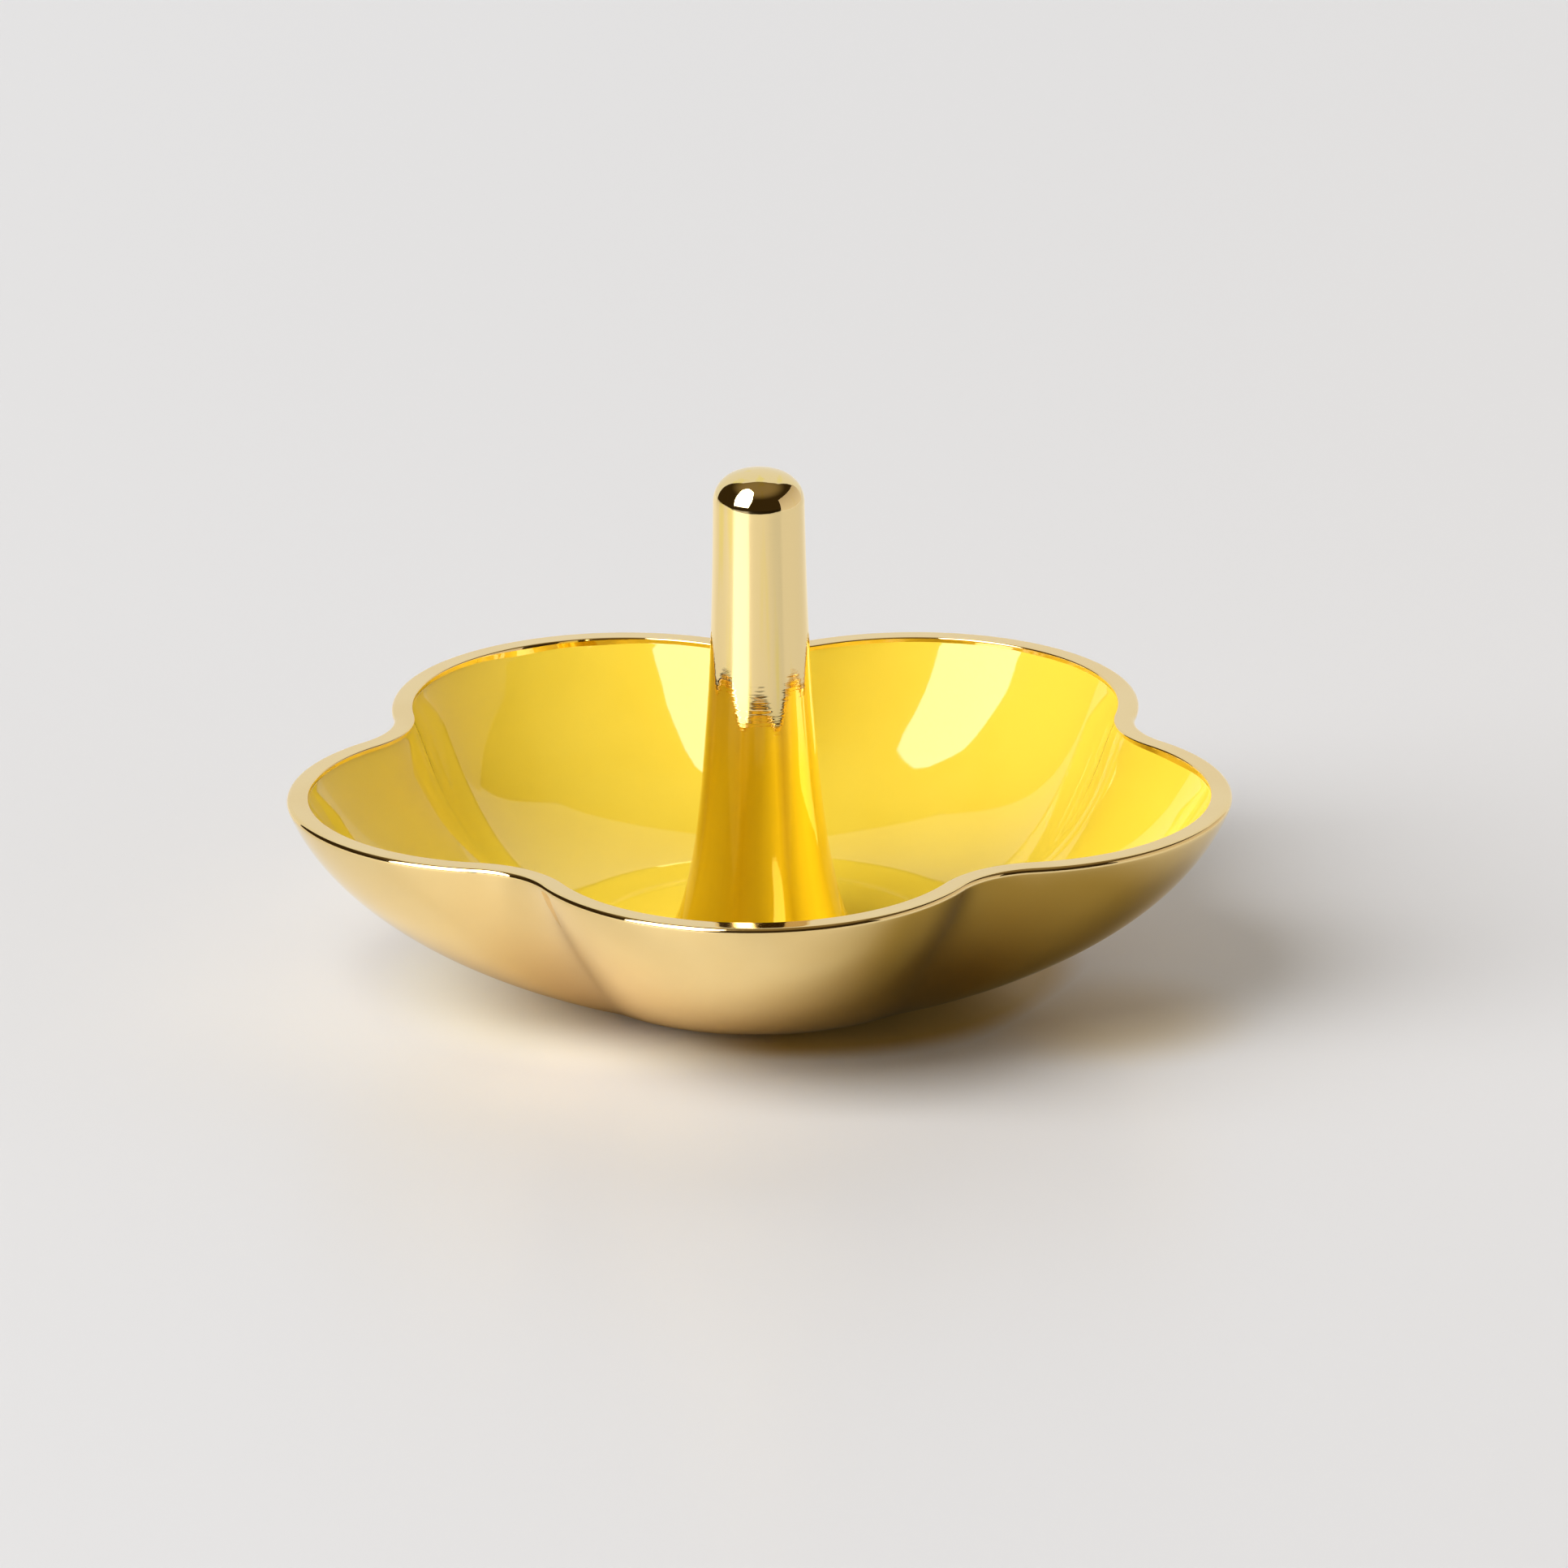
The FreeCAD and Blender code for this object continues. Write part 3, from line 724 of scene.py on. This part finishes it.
def gold_material(finishes):
    """Polished gold plate: a faint change of colour, smudges in the polish and an uneven lie of the metal.

    Low in the hollows, where the cosine of the petals' turns is near its lowest, the gold is darkened
    by painted shade.
    """
    material, shader = new_material("Gold_plate")
    place = shader.place()
    across, inward, upward = shader.parts(place)
    turn = shader.math("ARCTAN2", across, 0 - inward)
    # Painted shade low in the hollows between the petals, fading out upwards
    hollow_shade_low, hollow_shade_high = 10.0 * MM, 24.0 * MM
    hollow = shader.ramp(0 - shader.math("COSINE", PETALS * turn), 0.10, 1.0)
    hollow = hollow * (1 - shader.ramp(upward, hollow_shade_low, hollow_shade_high))
    cloud = shader.noise(place, 60.0, detail=3.0)
    smudge = shader.noise(place, 120.0, detail=4.0, stretch=(1.0, 1.0, 0.5), roughness=0.62)
    smudge = shader.ramp(smudge, 0.50, 0.78)
    pits = shader.ramp(shader.noise(place, 1500.0), 0.66, 0.80)
    wave = shader.noise(place, 90.0, detail=1.0)
    grain = shader.noise(place, 900.0)
    plate = shader.mix(shader.ramp(cloud, 0.35, 0.70), finishes.gold, finishes.gold_deep)
    shader.named("Principled BSDF", {
        "Base Color": shader.mix(hollow, plate, finishes.gold_hollow_shade),
        "Metallic": 1.0,
        "Roughness": 0.045 + 0.06 * smudge + 0.12 * pits,
        "Normal": shader.bump(wave + 0.012 * grain, 0.05 * MM),
    })
    return material


def post_material(finishes):
    """Polished gold plate of the post.

    Fine level ridges are left by the turning. The plate is a deep gold in upright streaks, and towards the
    foot its colour is a painted reflection of the yellow enamel.
    """
    material, shader = new_material("Post_gold_plate")
    place = shader.place()
    upward = shader.parts(place)[2]
    reflection_low, reflection_high = 26.0 * MM, 37.0 * MM
    ridges = shader.noise(place, 2600.0, stretch=(0.09, 0.09, 1.0), roughness=0.6)
    streaks = shader.ramp(shader.noise(place, 700.0, stretch=(1.0, 1.0, 0.035)), 0.52, 0.72)
    # Painted reflection of the yellow enamel, growing towards the post's foot
    foot = 1 - shader.ramp(upward, reflection_low, reflection_high)
    deep_and_reflected = (0.55 * streaks).larger(foot)
    shader.named("Principled BSDF", {
        "Base Color": shader.mix(deep_and_reflected, finishes.post_gold, finishes.post_deep_and_reflection),
        "Metallic": 1.0,
        "Roughness": 0.03 + 0.04 * streaks,
        "Normal": shader.bump(ridges, 0.0035 * MM),
    })
    return material


def enamel_material(finishes):
    """Glossy opaque enamel: pooled colour, a gentle orange peel and a few dull touches."""
    material, shader = new_material("Yellow_enamel")
    place = shader.place()
    pooled = shader.ramp(shader.noise(place, 45.0, detail=3.0), 0.40, 0.75)
    peel = shader.noise(place, 160.0)
    touch = shader.ramp(shader.noise(place, 70.0, detail=3.0), 0.55, 0.80)
    shader.named("Principled BSDF", {
        "Base Color": shader.mix(pooled, finishes.enamel, finishes.enamel_deep),
        "Roughness": 0.05 + 0.05 * touch,
        "IOR": 1.53,
        "Normal": shader.bump(peel, 0.012 * MM),
    })
    return material


def steel_material(finishes):
    """Zinc-plated steel of the screw and washers, dulled in patches and finely brushed."""
    material, shader = new_material("Zinc_plated_steel")
    place = shader.place()
    dulled = shader.ramp(shader.noise(place, 500.0, detail=4.0), 0.40, 0.68)
    brushed = shader.noise(place, 2500.0, stretch=(1.0, 0.12, 1.0))
    shader.named("Principled BSDF", {
        "Base Color": shader.mix(dulled, finishes.steel, finishes.steel_dull),
        "Metallic": 1.0,
        "Roughness": 0.26 + 0.22 * dulled,
        "Normal": shader.bump(brushed, 0.01 * MM),
    })
    return material


def felt_material(finishes):
    """Pressed wool felt: matted fibres, lighter where they stand up."""
    material, shader = new_material("Felt")
    place = shader.place()
    fibres = shader.noise(place, 2600.0, detail=4.0, stretch=(1.0, 0.35, 1.0), roughness=0.7)
    crossed = shader.noise(place, 2300.0, detail=4.0, stretch=(0.35, 1.0, 1.0), roughness=0.7)
    matted = fibres.larger(crossed)
    standing = shader.ramp(matted, 0.50, 0.72)
    shader.named("Principled BSDF", {
        "Base Color": shader.mix(standing, finishes.felt, finishes.felt_light),
        "Roughness": 0.92 + 0.08 * crossed,
        "Normal": shader.bump(matted, 0.25 * MM),
    })
    return material


def floor_material(stage):
    """Pale satin floor, with painted light and shade near the dish.

    Painted light stands for the light that the gold throws on it on the left, and painted brown shade lies
    close to the dish's foot and deep in its shadow, where only brown light from the gold reaches. In
    reflections the floor is painted brighter away from the dish on the left and in front, where it is seen
    at a low angle, and painted darker in the dish's shadow, where it is seen from above.
    It ends there at the table's front edge, where the dim room begins.
    """
    material, shader = new_material("Floor")
    front_edge = -0.27
    right_low, right_high = 0.04, 0.16
    foot_middle, foot_inner, foot_outer = (0.005, 0.003, 0), 0.028, 0.034
    foot_wider, foot_weaker = 0.022, 0.25
    lit_edge, shaded_edge = -0.010, 0.004
    deep_strength = 0.6
    place = shader.place()
    across, inward = shader.parts(place)[:2]
    glossy = shader.add("ShaderNodeLightPath")[3]
    direct = 1 - glossy
    # Painted sheen in reflections, away from the dish and faded out on the right
    far = (1 - shader.near(place, *DISH_ZONE)) * (1 - shader.ramp(across, right_low, right_high))
    # Painted pool of light from the gold on the left, seen directly
    glow = shader.near(place, *GLOW_ZONE)
    # Painted brown shade close under the dish's foot
    foot = shader.near(place, foot_middle, foot_inner, foot_outer + foot_wider * glossy)
    foot = foot * glossy.larger(shader.ramp(across, lit_edge, shaded_edge)) * (1 - foot_weaker * glossy)
    # Painted shadow deep in the dish's shadow on the right, seen directly
    deep = deep_strength * shader.near(place, *DEEP_SHADE_ZONE)
    # Painted shadow of the dish, in reflections only
    shade = shader.near(place, *SHADE_ZONE)
    tint = shader.mix(far * glossy, stage.floor, stage.floor_far_sheen)
    tint = shader.mix(glow * direct, tint, stage.floor_glow)
    tint = shader.mix(foot.larger(deep * direct), tint, stage.floor_foot_shade)
    tint = shader.mix(shade * glossy, tint, stage.floor_shade)
    shader.named("Principled BSDF", {
        "Base Color": shader.mix((inward < front_edge) * glossy, tint, shaded(FRONT_TINT, stage.dim)),
        "Roughness": 0.32,
        "Specular IOR Level": 0.2,
    })
    return material


def glow_material(name, foot, top=None, height=1.0, strength=1.0):
    """Glow of a lit sheet: one colour, or an even change from its foot to its top."""
    material, shader = new_material(name)
    shader.tree.nodes.remove(shader.tree.nodes["Principled BSDF"])
    tint = rgba(foot)
    if top is not None:
        upward = shader.parts(shader.place())[2]
        tint = shader.mix(shader.ramp(upward, 0.0, height, smooth=False), foot, top)
    glow = shader.add("ShaderNodeEmission", None, {"Color": tint, "Strength": strength})[0]
    shader.named("Material Output", {"Surface": glow})
    return material


def flat_sheet(name, corners, material, unseen=()):
    """Flat stage sheet between its corners, unseen by the given kinds of rays."""
    mesh = bpy.data.meshes.new(name)
    mesh.from_pydata(corners, [], [tuple(range(len(corners)))])
    mesh.materials.append(material)
    sheet = bpy.data.objects.new(name, mesh)
    bpy.context.scene.collection.objects.link(sheet)
    for ray in unseen:
        setattr(sheet, "visible_" + ray, False)


class RINGDISH_OT_bowl(bpy.types.Operator):
    """Builds the cast bowl in gold plate"""

    bl_idname = "ringdish.bowl"
    bl_label = "Bowl"

    def execute(self, context):
        sizes = context.scene.ring_dish_bowl
        points = bowl_points(sizes, full_turn(sizes.columns))
        finish = gold_material(context.scene.ring_dish_finishes)
        make_piece("Petal_bowl", points, finish, "dish_body", GOLD_SLOT, closed=True)
        return {"FINISHED"}


class RINGDISH_OT_enamel(bpy.types.Operator):
    """Builds the enamel inside the bowl"""

    bl_idname = "ringdish.enamel"
    bl_label = "Enamel"

    def execute(self, context):
        sizes = context.scene.ring_dish_bowl
        foot = context.scene.ring_dish_post.foot_radius
        points = enamel_points(sizes, full_turn(sizes.columns), foot)
        finish = enamel_material(context.scene.ring_dish_finishes)
        make_piece("Enamel_lining", points, finish, "enamel_lining", ENAMEL_SLOT, closed=True)
        return {"FINISHED"}


class RINGDISH_OT_post(bpy.types.Operator):
    """Builds the ring post"""

    bl_idname = "ringdish.post"
    bl_label = "Ring post"

    def execute(self, context):
        sizes = context.scene.ring_dish_post
        bowl = context.scene.ring_dish_bowl
        radius, height = post_profile(sizes, floor_height(bowl, inner_depth(bowl, 0)))
        points = round_points(radius[:, None], height[:, None], full_turn(sizes.columns))
        finish = post_material(context.scene.ring_dish_finishes)
        poles = {"start_pole": (0, 0, sizes.tap_height), "end_pole": (0, 0, sizes.height)}
        make_piece("Ring_post", points, finish, "ring_post", GOLD_SLOT, **poles)
        return {"FINISHED"}


class RINGDISH_OT_pad(bpy.types.Operator):
    """Builds the felt pad under the bowl"""

    bl_idname = "ringdish.pad"
    bl_label = "Felt pad"

    def execute(self, context):
        sizes = context.scene.ring_dish_pad
        points = pad_points(sizes, full_turn(sizes.columns))
        finish = felt_material(context.scene.ring_dish_finishes)
        poles = {"start_pole": (0, 0, sizes.bottom), "end_pole": (0, 0, sizes.top)}
        make_piece("Felt_pad", points, finish, "base_pad", FELT_SLOT, **poles)
        return {"FINISHED"}


class RINGDISH_OT_fasteners(bpy.types.Operator):
    """Finishes the screw and its washers"""

    bl_idname = "ringdish.fasteners"
    bl_label = "Screw and washers"

    def execute(self, context):
        finish = steel_material(context.scene.ring_dish_finishes)
        for name in FASTENERS:
            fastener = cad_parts[name]
            fastener.data.materials.clear()
            fastener.data.materials.append(finish)
        return {"FINISHED"}


class RINGDISH_OT_stage(bpy.types.Operator):
    """Sets up the floor, the light and the camera"""

    bl_idname = "ringdish.stage"
    bl_label = "Stage"

    def execute(self, context):
        stage = context.scene.ring_dish_stage
        self.floor(stage)
        self.cards(stage)
        self.lamps(context, stage)
        self.room(context, stage)
        self.camera(context, stage)
        context.scene.view_settings.view_transform = "Standard"
        return {"FINISHED"}

    def floor(self, stage):
        """Level floor under the dish."""
        half = 3.0
        corners = [(-half, -half, 0), (half, -half, 0), (half, half, 0), (-half, half, 0)]
        flat_sheet("Floor", corners, floor_material(stage))

    def cards(self, stage):
        """Pale backdrop behind and white card on the right, which the camera doesn't see."""
        low, backdrop_top, card_top = 0.001, 1.15, 0.34
        behind, left, top_left, right = 0.60, -0.80, -0.42, 0.56
        card_side, card_front, card_back = 0.42, -0.26, 0.50
        backdrop = [
            (left, behind, low), (right, behind, low),
            (right, behind, backdrop_top), (top_left, behind, backdrop_top),
        ]
        card = [
            (card_side, card_front, low), (card_side, card_back, low),
            (card_side, card_back, card_top), (card_side, card_front, card_top),
        ]
        pale = glow_material("Backdrop", shaded(BACKDROP_TINT, stage.backdrop))
        white = glow_material("Card", stage.card_foot, stage.card_top, card_top)
        flat_sheet("Backdrop", backdrop, pale, unseen=("camera", "shadow"))
        flat_sheet("Card", card, white, unseen=("camera", "shadow"))

    def lamps(self, context, stage):
        """Softbox in front on the left, and a low light on the right.

        The softbox is the bright sheet that reflections show and, for soft light, a band across the sheet
        from its lower left to its upper right, where most of its light comes from.
        """
        centre = np.array((-1.0913, -0.9406, 1.8329))
        across = np.array((0.6833, -0.7296, 0.0278))
        upward = np.array((0.3487, 0.3595, 0.8655))
        outline = np.array((
            (0.92, -1.60), (0.98, -0.60), (0.90, -0.20), (0.74, 0.24), (0.58, 0.69), (0.36, 1.06),
            (0.00, 1.27), (-0.42, 1.46), (-0.60, 1.36), (-0.69, 1.12), (-0.78, 0.80), (-0.69, 0.12),
            (-0.64, -1.60),
        ))
        corners = centre + outline[:, :1] * across + outline[:, 1:] * upward
        glow = glow_material("Softbox", SOFTBOX_TINT, strength=stage.softbox)
        flat_sheet("Softbox", corners.tolist(), glow, unseen=("camera", "diffuse", "shadow"))
        self.lamp(
            context, "Softbox_light", stage.key, centre=(-1.3923, -0.9280, 1.4614),
            across=(0.7321, -0.2697, 0.6255), upward=(-0.2290, 0.7674, 0.5989), size=(2.7450, 1.3753)
        )
        self.lamp(
            context, "Low_light", stage.low_light, centre=(0.90, -0.40, 0.22),
            across=(0.4061, 0.9138, 0), upward=(-0.1986, 0.0883, 0.9761), size=(0.90, 0.17)
        )

    def lamp(self, context, name, brightness, centre, across, upward, size):
        """Rectangular lamp of an even brightness, which neither the camera nor reflections show."""
        across = Vector(across).normalized()
        upward = Vector(upward)
        upward = (upward - across * upward.dot(across)).normalized()
        light = bpy.data.lights.new(name, "AREA")
        light.shape = "RECTANGLE"
        light.size, light.size_y = size
        light.energy = brightness * math.pi * light.size * light.size_y
        lamp = bpy.data.objects.new(name, light)
        columns = Matrix((across, upward, across.cross(upward))).transposed()
        lamp.matrix_world = Matrix.Translation(centre) @ columns.to_4x4()
        lamp.visible_camera = False
        lamp.visible_glossy = False
        context.scene.collection.objects.link(lamp)

    def room(self, context, stage):
        """World: the pale background for the camera, elsewhere a dim room under a brown ceiling."""
        world = bpy.data.worlds.new("Room")
        context.scene.world = world
        shader = Shader(world)
        path = shader.add("ShaderNodeLightPath")
        camera, glossy, clear = path[0], path[3], path[6]
        seen = camera.larger(clear)
        background = 0.97
        ceiling_low, ceiling_high = 0.64, 0.96
        direction = shader.add("ShaderNodeTexCoord")[0]
        upward = shader.parts(direction)[2]
        low = shader.mix(glossy, (stage.fill,) * 3, shaded(ROOM_TINT, stage.dim))
        room = shader.mix(shader.ramp(upward, ceiling_low, ceiling_high), low, stage.ceiling)
        tint = shader.mix(seen, room, shaded(stage.floor, background))
        shader.named("Background", {"Color": tint, "Strength": 1.0})

    def camera(self, context, stage):
        """Camera at the photographed angle, with the dish a little left of and below the middle."""
        aim_right, aim_up = 2.62 * MM, 8.81 * MM
        azimuth, elevation, roll = stage.camera_azimuth, stage.camera_elevation, stage.camera_roll
        back = Vector((
            math.sin(azimuth) * math.cos(elevation),
            -math.cos(azimuth) * math.cos(elevation),
            math.sin(elevation),
        ))
        target = Vector((0, 0, stage.camera_height))
        place = target + back * stage.camera_distance
        level = Vector((0, 0, 1)).cross(back).normalized()
        upright = back.cross(level)
        right = level * math.cos(roll) + upright * math.sin(roll)
        upward = upright * math.cos(roll) - level * math.sin(roll)
        aim = target + right * aim_right + upward * aim_up
        back = (place - aim).normalized()
        right = upward.cross(back).normalized()
        upward = back.cross(right)
        lens = bpy.data.cameras.new("Camera")
        lens.lens = stage.focal_length
        lens.sensor_width = 36.0
        lens.clip_start = 0.05
        lens.clip_end = 20.0
        camera = bpy.data.objects.new("Camera", lens)
        columns = Matrix((right, upward, back)).transposed()
        camera.matrix_world = Matrix.Translation(place) @ columns.to_4x4()
        context.scene.collection.objects.link(camera)
        context.scene.camera = camera


class VIEW3D_PT_ring_dish(bpy.types.Panel):
    """Lists the dish's pieces and their sizes"""

    bl_label = "Ring dish"
    bl_idname = "VIEW3D_PT_ring_dish"
    bl_space_type = "VIEW_3D"
    bl_region_type = "UI"
    bl_category = "Ring dish"

    def draw(self, context):
        layout = self.layout
        for operator in OPERATORS:
            layout.operator(operator.bl_idname)
        for name, group in GROUPS.items():
            settings = getattr(context.scene, name)
            box = layout.box()
            box.label(text=group.__doc__)
            for key in group.__annotations__:
                box.prop(settings, key)


GROUPS = {
    "ring_dish_bowl": BowlSizes,
    "ring_dish_post": PostSizes,
    "ring_dish_pad": PadSizes,
    "ring_dish_finishes": DishFinishes,
    "ring_dish_stage": StageSettings,
}
OPERATORS = (
    RINGDISH_OT_bowl,
    RINGDISH_OT_enamel,
    RINGDISH_OT_post,
    RINGDISH_OT_pad,
    RINGDISH_OT_fasteners,
    RINGDISH_OT_stage,
)
CLASSES = (*GROUPS.values(), *OPERATORS, VIEW3D_PT_ring_dish)


def register():
    """Registers the classes and the settings of the scene."""
    for item in CLASSES:
        bpy.utils.register_class(item)
    for name, group in GROUPS.items():
        setattr(bpy.types.Scene, name, PointerProperty(type=group))


def unregister():
    """Takes the settings and the classes out again."""
    for name in GROUPS:
        delattr(bpy.types.Scene, name)
    for item in reversed(CLASSES):
        bpy.utils.unregister_class(item)


def main():
    """Builds the dish and its stage."""
    register()
    bpy.ops.ringdish.bowl()
    bpy.ops.ringdish.enamel()
    bpy.ops.ringdish.post()
    bpy.ops.ringdish.pad()
    bpy.ops.ringdish.fasteners()
    bpy.ops.ringdish.stage()


if __name__ == "__main__":
    main()
